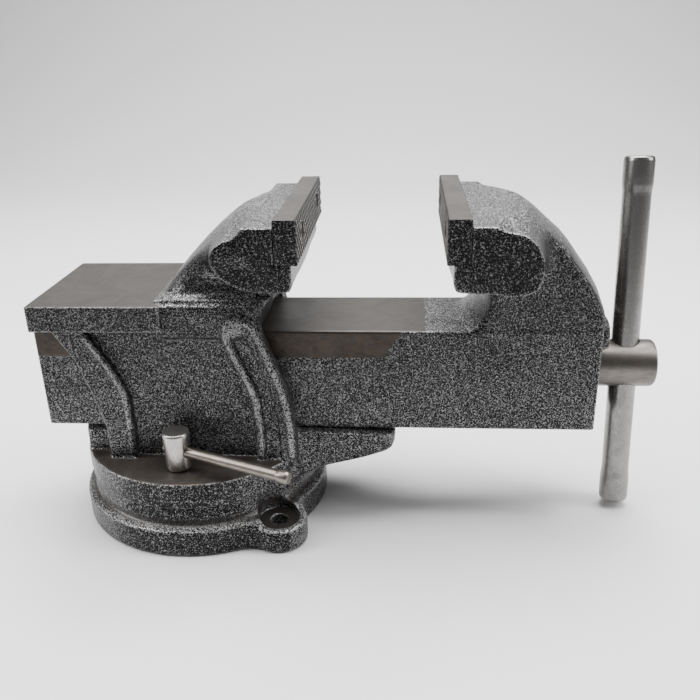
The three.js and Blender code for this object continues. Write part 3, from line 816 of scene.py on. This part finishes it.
def jaw_paint():
    n = Nodes("sliding_jaw_paint")
    paint = hammertone(n)
    top = inside_box(n, (-OPEN, -38.5, SLIDE_TOP - 0.9), (172.5, 38.5, SLIDE_TOP + 0.6), 0.25, 0.5)
    top = n.times(top, facing(n, ALONG_Z, 0.7, 0.9))
    slope = n.plus(n.axis(ALONG_X), n.times(n.minus(SLIDE_TOP, n.axis(ALONG_Z)), 0.66))
    wave = n.times(n.minus(n.noise(0.3, 3.0), 0.5), 3.0)
    flank = n.ramp(n.plus(slope, wave), 157.0, 155.4)
    flank = n.times(flank, n.ramp(n.axis(ALONG_Z), BAND_BOTTOM - 0.3, BAND_BOTTOM + 0.3))
    flank = n.times(flank, n.ramp(n.axis(ALONG_Z), SLIDE_TOP + 0.6, SLIDE_TOP - 0.2))
    band = ground_metal(n, ALONG_X, (0.040, 0.033, 0.028), (0.017, 0.0145, 0.0125), 0.6)
    shader = n.blend(flank, paint, band)
    return n.finish(n.blend(top, shader, ground_metal(n, ALONG_X)))


def build_sliding_jaw():
    g = Field((JAW_LOW[0] - 2, -78, JAW_LOW[2] - 2), (JAW_HIGH[0] + 2, 78, 237), STEP)
    hump = g.crowned(HUMP_SIDE, SLIDE_HALF, 5.0, 3.4)
    brow = g.crowned(HUMP_SIDE, HALF_JAW, 20.0, 1.5)
    brow = meet(brow, g.prism(BROW_PLAN, ALONG_Z, 40, 0, 236), 8.0)
    jaw = join(slide_bar(g), join(hump, brow, 1.0), 2)
    jaw = join(jaw, g.prism(HOOD_END, ALONG_X, 9.2, 3, SLIDE_FRONT - 0.4), 5)
    jaw = join(jaw, g.prism(FRONT_HEAD, ALONG_Y, HALF_JAW, 1.1), 24)
    jaw = cut(jaw, g.block((JAW_LOW[0] - 9, -25, SLIDE_BOTTOM - 9), (272, 25, BAND_BOTTOM), 2))
    jaw = cut(jaw, g.block((140, -100, PLATE_BOTTOM - 0.1), (FRONT_HIGH[0] + 0.1, 100, 260)))
    jaw = meet(jaw, np.broadcast_to(g.z - JAW_TOP, jaw.shape))
    jaw = meet(jaw, np.broadcast_to(np.abs(g.y) - HALF_JAW, jaw.shape))
    jaw = cut(jaw, g.rod(0, SCREW_Z, 9.9, 260, 320))
    obj = surface("sliding_jaw_cast", g, jaw, 0.38)
    obj.data.materials.append(jaw_paint())
    return obj


# -------- swivel base
# Radius and height. It ends past the axis, and leaves a dimple in the hidden underside.
BASE_PROFILE = [
    (5, 0), (22, 0), (24, 3), (74, 3), (76, 0), (93.5, 0), (94.7, 0.6), (95, 2), (95, 18.4),
    (94.6, 19.7), (93.4, 20.4), (91, 20.9), (88.6, 22.2), (87, 24.8), (86.2, 28.5), (85.8, 33.5),
    (84.8, 35.4), (70.5, 35.5), (70.5, 24.2), (78, 24.2), (78, 11), (50, 11), (50, 24.2),
    (57.5, 24.2), (57.5, 35.5), (8.3, 35.5), (8.3, 12), (-5, 12),
]
BASE_TOP = 35.5
BASE_REACH = 118
SLOT_FLOOR = 24.2
LUG_ANGLE = math.radians(-45.5)
LUG_DISTANCE = 96
LUG_HOLE = 6.3


def revolved(g, radius, profile):
    """The profile turned about Z: its distances are looked up by radius."""
    ring_step = 0.5
    flat = Field((0, 0, 0), (130, 1, 1), ring_step)
    flat.axes[2] = g.axes[2]
    table = flat.outline(profile, ALONG_Y)[:, 0, :]
    index = radius[:, :, 0] / ring_step
    low = np.clip(index.astype(int), 0, table.shape[0] - 2)
    t = (index - low)[:, :, None]
    return table[low] * (1 - t) + table[low + 1] * t


def add_lug(g, base, radius, angle):
    """A bolting lug: a round ear, the web behind it, a spot face and a hole."""
    ux, uy = math.cos(angle), math.sin(angle)
    x, y = LUG_DISTANCE * ux, LUG_DISTANCE * uy
    ear = g.drum(x, y, 20.5, 0, 18, 2.6)
    rounding = 2
    along = np.abs(g.x * ux + g.y * uy - 80) - 16 + rounding
    across = np.abs(-g.x * uy + g.y * ux) - 20 + rounding
    height = np.abs(g.z - 8.5) - 8.5 + rounding
    web = np.maximum(rounded_box((along, across, height), rounding), 82 - radius)
    base = join(base, join(ear, web, 5), 9)
    base = cut(base, g.drum(x, y, 15, 16, 60, 0.6), 0.8)
    return cut(base, g.drum(x, y, LUG_HOLE, -5, 40), 0.5)


def base_paint():
    n = Nodes("swivel_base_paint")
    pocket = n.times(n.ramp(n.axis(ALONG_Z), 17.2, 16.6), facing(n, ALONG_Z, 0.7, 0.9))
    lug_x, lug_y = LUG_DISTANCE * math.cos(LUG_ANGLE), LUG_DISTANCE * math.sin(LUG_ANGLE)
    reach = n.math("MINIMUM", n.reach(lug_x, lug_y), n.reach(-lug_x, -lug_y))
    pocket = n.times(pocket, n.ramp(reach, 15.2, 14.4))
    paint = hammertone(n, 1.0, 0.035)
    under = n.times(n.ramp(n.axis(ALONG_Z), 0.8, 0.2), facing(n, ALONG_Z, 0.7, 0.9))
    upper = n.times(n.ramp(n.axis(ALONG_Z), 34.6, 35.2), facing(n, ALONG_Z, 0.7, 0.9))
    cove = n.times(n.ramp(n.axis(ALONG_Z), 20.6, 21.6), n.ramp(n.axis(ALONG_Z), 27.0, 24.0))
    smooth_colour = n.mix(n.noise(0.5, 3.0), (0.010, 0.009, 0.008), (0.040, 0.034, 0.029))
    smooth = n.surface(smooth_colour, 0.3, 0.34)
    shader = n.blend(n.math("MAXIMUM", n.times(cove, 0.75), pocket), paint, smooth)
    return n.finish(n.blend(n.math("MAXIMUM", under, upper), shader, ground_metal(n, ALONG_Y)))


def build_base():
    g = Field((-BASE_REACH, -BASE_REACH, -2), (BASE_REACH, BASE_REACH, 38), STEP)
    radius = np.hypot(g.x, g.y)
    base = revolved(g, radius, BASE_PROFILE)
    for turn in (0, math.pi):
        base = add_lug(g, base, radius, LUG_ANGLE + turn)
    base = cut(base, np.maximum(np.abs(radius - LOCK_Y) - 6.5, SLOT_FLOOR - g.z))
    base = np.maximum(base, -g.z)
    base = np.maximum(base, g.z - BASE_TOP)
    obj = surface("swivel_base_cast", g, base, 0.5)
    obj.data.materials.append(base_paint())
    return obj


# -------- jaw plates
SERRATION_PITCH = 7.4
SERRATION_DEPTH = 1.5
PLATE_SCREW_Y = (-45, 45)
PLATE_SCREW_Z = 224
COUNTERBORE = [(0, -30), (4.3, -30), (4.3, 8.5), (7.3, 8.5), (7.3, 40), (0, 40)]


def serrations(yy, zz, half, low, high):
    """How far the gripping face lies below flat: diamonds, a bevelled rim, flats round the screws."""
    a = np.abs(((yy + zz) / SERRATION_PITCH) % 1 - 0.5) * 2
    b = np.abs(((yy - zz) / SERRATION_PITCH) % 1 - 0.5) * 2
    depth = SERRATION_DEPTH * np.clip(np.maximum(a, b) * 2.2 - 1.0, 0, 1)
    rim = np.minimum(np.minimum(yy + half, half - yy), np.minimum(zz - low[2], high[2] - zz))
    depth = np.maximum(depth, 0.25 * (1 - np.clip(rim / 0.5, 0, 1)))
    hole = np.minimum(*[np.hypot(yy - y, zz - PLATE_SCREW_Z) for y in PLATE_SCREW_Y])
    return np.where(hole < 7.9, 0.15, depth)


def plate_shape(name, low, high, face, sign):
    """The serrated face, closed by rings of points round its border and a flat back."""
    half = (high[1] - low[1]) / 2
    ys = np.linspace(-half, half, 301)
    zs = np.linspace(low[2], high[2], 59)
    depth = serrations(*np.meshgrid(ys, zs, indexing="ij"), half, low, high)
    bm = bmesh.new()
    grid = []
    for y, row in zip(ys, depth):
        grid.append([bm.verts.new(((face - sign * d) * MM, y * MM, z * MM)) for z, d in zip(zs, row)])
    for r0, r1 in zip(grid, grid[1:]):
        for i in range(len(r0) - 1):
            bm.faces.new((r0[i], r1[i], r1[i + 1], r0[i + 1]))
    border = [row[0] for row in grid] + grid[-1][1:]
    border += [row[-1] for row in grid[::-1][1:]] + grid[0][::-1][1:-1]

    def moved(v, x, shrink):
        y, z = v.co.y, v.co.z
        if abs(abs(y) - half * MM) < 1e-6:
            y -= math.copysign(shrink * MM, y)
        if abs(z - low[2] * MM) < 1e-6:
            z += shrink * MM
        elif abs(z - high[2] * MM) < 1e-6:
            z -= shrink * MM
        return bm.verts.new((x * MM, y, z))

    back = high[0] if sign < 0 else low[0]
    bevel_width = 0.5
    rings = [border]
    for x, shrink in ((face - sign * 1.2, 0), (back + sign * bevel_width, 0), (back, bevel_width)):
        rings.append([moved(v, x, shrink) for v in border])
    for r0, r1 in zip(rings, rings[1:]):
        for i in range(len(border)):
            j = (i + 1) % len(border)
            bm.faces.new((r0[i], r0[j], r1[j], r1[i]))
    bm.faces.new(rings[-1])
    bmesh.ops.recalc_face_normals(bm, faces=bm.faces)
    return from_bmesh(name, bm)


def plate_steel(name, half, face):
    n = Nodes(name + "_steel")
    ends = n.ramp(n.math("ABSOLUTE", n.axis(ALONG_Y)), half - 0.55, half - 0.3)
    ends = n.times(ends, facing(n, ALONG_Y, 0.4, 0.7))
    # Painted shade: the valleys of the serrations are coloured near black.
    gap = n.math("ABSOLUTE", n.minus(n.axis(ALONG_X), face))
    groove = n.times(n.ramp(gap, 0.08, 0.5), n.ramp(gap, 2.2, 1.8))
    groove = n.times(groove, facing(n, ALONG_X, 0.4, 0.7))
    bare = ground_metal(n, ALONG_Y, (0.070, 0.0635, 0.058), (0.048, 0.0435, 0.040))
    bare = n.blend(groove, bare, n.surface((0.006, 0.0055, 0.005), 0.2, 0.6))
    return n.finish(n.blend(ends, bare, hammertone(n, 0.0)))


def build_plate(name, low, high, face, sign):
    """A hardened plate: ground edges, diamond serrations on the gripping face, counterbored holes."""
    obj = plate_shape(name, low, high, face, sign)
    for y in PLATE_SCREW_Y:
        bore = turned("bore", COUNTERBORE, 48)
        place(bore, (face - sign * 17, y, PLATE_SCREW_Z), (sign, 0, 0))
        subtract(obj, bore)
    sharpen(obj, 20)
    obj.data.materials.append(plate_steel(name, (high[1] - low[1]) / 2, face))
    return obj


# -------- screw, handle and locks
THREAD_PITCH = 5.0
THREAD_ROOT = 7.6
THREAD_HEIGHT = 2.4
THREAD_END = 240
HEAD_START = 297.0
HANDLE_HALF = 129.0
HANDLE_END = [  # radius, and distance in from the end of the bar
    (0, 0), (8.8, 0), (10.1, 0.9), (10.6, 3), (10.65, 14), (10.5, 19.5), (10.25, 22.0), (10.0, 24.5),
    (9.9, 27),
]
LOCK_HEAD = [
    (0, 13), (4.2, 13), (5, 14), (5, 55.9), (8.5, 55.9), (9.0, 57), (9.7, 83.6), (8.9, 85.2), (0, 85.2),
]
LOCK_ROD = [
    (0, -11), (3.4, -11), (4.0, -10.2), (4.0, 84), (4.4, 85.4), (4.6, 88), (4.5, 91), (3.8, 93), (0, 93),
]
LOCK_ROD_Z = 70
LOCK_ROD_TURN = math.radians(22.8)


def build_thread():
    """A trapezoidal thread that runs out at both ends."""
    segments = 48
    angles = np.arange(segments) * 2 * math.pi / segments
    vertices = [(SCREW_LOW[0], 0, SCREW_Z)]
    xs = np.arange(SCREW_LOW[0], THREAD_END + 0.01, 0.5)
    for x in xs:
        phase = (x / THREAD_PITCH - angles / (2 * math.pi)) % 1
        lift = np.clip((0.5 - np.abs(phase - 0.5)) * 6 - 0.6, 0, 1)
        end = min(1, (x - SCREW_LOW[0]) / 4, (THREAD_END - x) / 3)
        radii = THREAD_ROOT + THREAD_HEIGHT * lift * max(end, 0)
        for t, r in zip(angles, radii):
            vertices.append((x, r * math.cos(t), SCREW_Z + r * math.sin(t)))
    vertices.append((THREAD_END, 0, SCREW_Z))
    bm = bmesh.new()
    verts = [bm.verts.new(tuple(c * MM for c in v)) for v in vertices]
    for i in range(len(xs) - 1):
        a = 1 + i * segments
        for k in range(segments):
            j = (k + 1) % segments
            bm.faces.new([verts[m] for m in (a + k, a + segments + k, a + segments + j, a + j)])
    last = 1 + (len(xs) - 1) * segments
    for k in range(segments):
        j = (k + 1) % segments
        bm.faces.new([verts[m] for m in (0, 1 + k, 1 + j)])
        bm.faces.new([verts[m] for m in (len(vertices) - 1, last + j, last + k)])
    bmesh.ops.recalc_face_normals(bm, faces=bm.faces)
    return sharpen(from_bmesh("lead_screw_thread", bm), 50)


def build_screw_head():
    """The journal and the head, drilled across for the handle bar."""
    start, end = HEAD_START, SCREW_HIGH[0]
    profile = [
        (0, THREAD_END - 0.5), (9.6, THREAD_END - 0.5), (9.6, start), (16.9, start), (17.5, start + 0.6),
        (17.5, end - 2.6), (17.1, end - 1.2), (16.2, end - 0.35), (15, end), (0, end),
    ]
    head = turned("lead_screw_head", profile, 128)
    place(head, (0, 0, SCREW_Z), (1, 0, 0))
    drill = turned("drill", [(0, -40), (10.3, -40), (10.3, 40), (0, 40)], 96)
    place(drill, (320, 0, SCREW_Z), HANDLE_AXIS)
    subtract(head, drill)
    return bevelled(head, 0.5, 3)


def build_lead_screw():
    thread, head = build_thread(), build_screw_head()
    finish = steel("screw_steel", (0.150, 0.137, 0.126), (0.095, 0.086, 0.079), ALONG_X, (0.34, 0.46), 0.2)
    for obj in (thread, head):
        obj.data.materials.append(finish)
    return thread, head


def build_handle():
    low, high = box_mm("handle_bar")
    upper = [(r, HANDLE_HALF - inward) for r, inward in HANDLE_END]
    profile = ease([(r, -h) for r, h in upper] + upper[::-1], 0.5)
    bar = turned("handle_bar_steel", profile, 96)
    tint, dark = (0.25, 0.243, 0.233), (0.165, 0.160, 0.152)
    bar.data.materials.append(steel("handle_steel", tint, dark, ALONG_Z, (0.24, 0.34), 0.1))
    return place(bar, tuple((low + high) / 2), tuple(HANDLE_AXIS.normalized()))


def build_lock(side, sign):
    """A lock bolt with its drilled head, and the small bar through it."""
    low, high = box_mm(side + "_lock_bolt")
    x, y = (low + high)[:2] / 2
    bolt = turned(side + "_lock_head", ease(LOCK_HEAD, 0.8), 96)
    place(bolt, (x, y, 0))
    angle = sign * LOCK_ROD_TURN
    direction = (math.cos(angle), math.sin(angle), 0)
    hole = turned("drill", [(0, -15), (4.2, -15), (4.2, 15), (0, 15)], 48)
    place(hole, (x, y, LOCK_ROD_Z), direction)
    subtract(bolt, hole)
    bevelled(bolt, 0.35, 2)
    rod = turned(side + "_lock_rod", ease(LOCK_ROD, 0.5), 64)
    place(rod, (x, y, LOCK_ROD_Z), direction)
    tint, dark = (0.46, 0.438, 0.412), (0.33, 0.313, 0.294)
    bolt.data.materials.append(steel(side + "_bolt_steel", tint, dark, ALONG_Z, (0.24, 0.34), 0.1))
    tint, dark = (0.235, 0.209, 0.184), (0.150, 0.131, 0.114)
    rod.data.materials.append(steel(side + "_rod_steel", tint, dark, ALONG_X, (0.30, 0.42), 0.2))
    return bolt, rod


# -------- assembly
def attach(obj, body, slot, *nodes):
    """Joins a piece to its moving body, and lets it stand in for CAD nodes. The slot argument is not used.
    """
    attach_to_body(obj, body)
    if nodes:
        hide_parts(*nodes)


attach(build_fixed_body(), "swivel", "casting", "fixed_body")
attach(build_sliding_jaw(), "jaw", "casting", "sliding_jaw")
attach(build_base(), "base", "casting", "swivel_base")
rear_plate = build_plate("rear_plate_steel", REAR_LOW, REAR_HIGH, REAR_HIGH[0], 1)
attach(rear_plate, "swivel", "jaw_steel", "rear_jaw_plate")
front_plate = build_plate("front_plate_steel", FRONT_LOW, FRONT_HIGH, FRONT_LOW[0], -1)
attach(front_plate, "jaw", "jaw_steel", "front_jaw_plate")
for piece in build_lead_screw():
    attach(piece, "screw", "bright_steel", "lead_screw")
attach(build_handle(), "handle", "steel", "handle_bar")
for side, sign in (("near", -1), ("far", 1)):
    bolt, rod = build_lock(side, sign)
    attach(bolt, side + "_lock", "bright_steel", side + "_lock_bolt")
    attach(rod, side + "_lock", "bright_steel", side + "_lock_bar")

# The pieces that stay as CAD: dark screws and spring, a raw iron nut, plain steel for the rest.
dark = steel("black_oxide", (0.05, 0.05, 0.052), (0.025, 0.025, 0.027), ALONG_X, (0.32, 0.45), 0.2)
plain = steel("plain_steel", (0.40, 0.385, 0.365), (0.25, 0.24, 0.225), ALONG_X, (0.28, 0.4), 0.25)
iron = Nodes("raw_iron")
raw = iron.finish(ground_metal(iron, ALONG_X, (0.16, 0.15, 0.14), (0.07, 0.065, 0.06), 0.4))
for node_name, obj in frame["nodes"].items():
    chosen = plain
    if "plate_screw" in node_name or node_name in ("nut_bolt", "spindle_spring"):
        chosen = dark
    elif node_name == "main_nut":
        chosen = raw
    obj.data.materials.clear()
    obj.data.materials.append(chosen)

# -------- floor, light and camera, in metres
FLOOR_HALF = 6.0
FLOOR_DROP = 0.0004
FLOOR_BACK = 1.2  # where the floor starts to curve up
FLOOR_CURVE = 1.0  # radius
CENTRE = (0.1, 0.0, 0.13)
SOFTBOXES = {  # place, size and power in watts
    "softbox_top": ((0.1, 0.35, 1.5), (1.6, 1.2), 78),
    "softbox_left": ((-1.0, -0.25, 0.9), (0.35, 1.0), 17),
    "softbox_right": ((1.15, -0.1, 0.9), (0.35, 1.0), 15),
    "softbox_back": ((0.3, 1.2, 1.9), (2.0, 0.6), 36),
}
SENSOR_MM = 36
LENS_MM = 40.2171
CAMERA_PLACE = (158.7 * MM, -544 * MM, 349.5 * MM)
CAMERA_DOWN, CAMERA_LEFT, CAMERA_ROLL = 22.7, 4.4, -1.39  # degrees


def build_floor():
    """A white studio floor that curves up behind the vise."""
    sweep = [(-3.0, 0.0), (FLOOR_BACK, 0.0)]
    for t in np.linspace(0.1, 1.5, 14):
        sweep.append((FLOOR_BACK + FLOOR_CURVE * math.sin(t), FLOOR_CURVE - FLOOR_CURVE * math.cos(t)))
    sweep.append((FLOOR_BACK + FLOOR_CURVE, FLOOR_CURVE + 0.1))
    bm = bmesh.new()
    rows = []
    for y, z in sweep:
        rows.append([bm.verts.new((x, y, z - FLOOR_DROP)) for x in (-FLOOR_HALF, FLOOR_HALF)])
    for a, b in zip(rows, rows[1:]):
        bm.faces.new((a[0], a[1], b[1], b[0]))
    floor = from_bmesh("studio_floor", bm)
    floor.data.shade_smooth()
    n = Nodes("studio_white")
    tone = n.mix(n.noise(0.002, 2.0), (0.68, 0.68, 0.68), (0.72, 0.72, 0.72))
    floor.data.materials.append(n.finish(n.surface(tone, 0.0, 0.9)))
    return floor


def build_world():
    world = bpy.data.worlds.new("studio")
    bpy.context.scene.world = world
    world.use_nodes = True
    background = world.node_tree.nodes["Background"]
    background.inputs["Color"].default_value = (1.0, 1.0, 1.0, 1)
    background.inputs["Strength"].default_value = 0.16


def build_softbox(name, place_at, size, power):
    data = bpy.data.lights.new(name, "AREA")
    data.shape = "RECTANGLE"
    data.size, data.size_y = size
    data.energy = power
    light = linked(name, data)
    light.location = place_at
    light.rotation_euler = (Vector(CENTRE) - Vector(place_at)).to_track_quat("-Z", "Y").to_euler()


def build_camera():
    data = bpy.data.cameras.new("camera")
    data.sensor_width = SENSOR_MM
    data.lens = LENS_MM
    data.clip_start = 0.02
    camera = linked("camera", data)
    pitch, yaw, roll = math.radians(CAMERA_DOWN), math.radians(-CAMERA_LEFT), math.radians(CAMERA_ROLL)
    look = Vector((math.sin(yaw) * math.cos(pitch), math.cos(yaw) * math.cos(pitch), -math.sin(pitch)))
    right = Vector((math.cos(yaw), -math.sin(yaw), 0))
    up = right.cross(look)
    right_rolled = right * math.cos(roll) + up * math.sin(roll)
    up_rolled = up * math.cos(roll) - right * math.sin(roll)
    turn = Matrix((right_rolled, up_rolled, -look)).transposed().to_4x4()
    camera.matrix_world = Matrix.Translation(Vector(CAMERA_PLACE)) @ turn
    bpy.context.scene.camera = camera


build_floor()
build_world()
for name, (place_at, size, power) in SOFTBOXES.items():
    build_softbox(name, place_at, size, power)
build_camera()
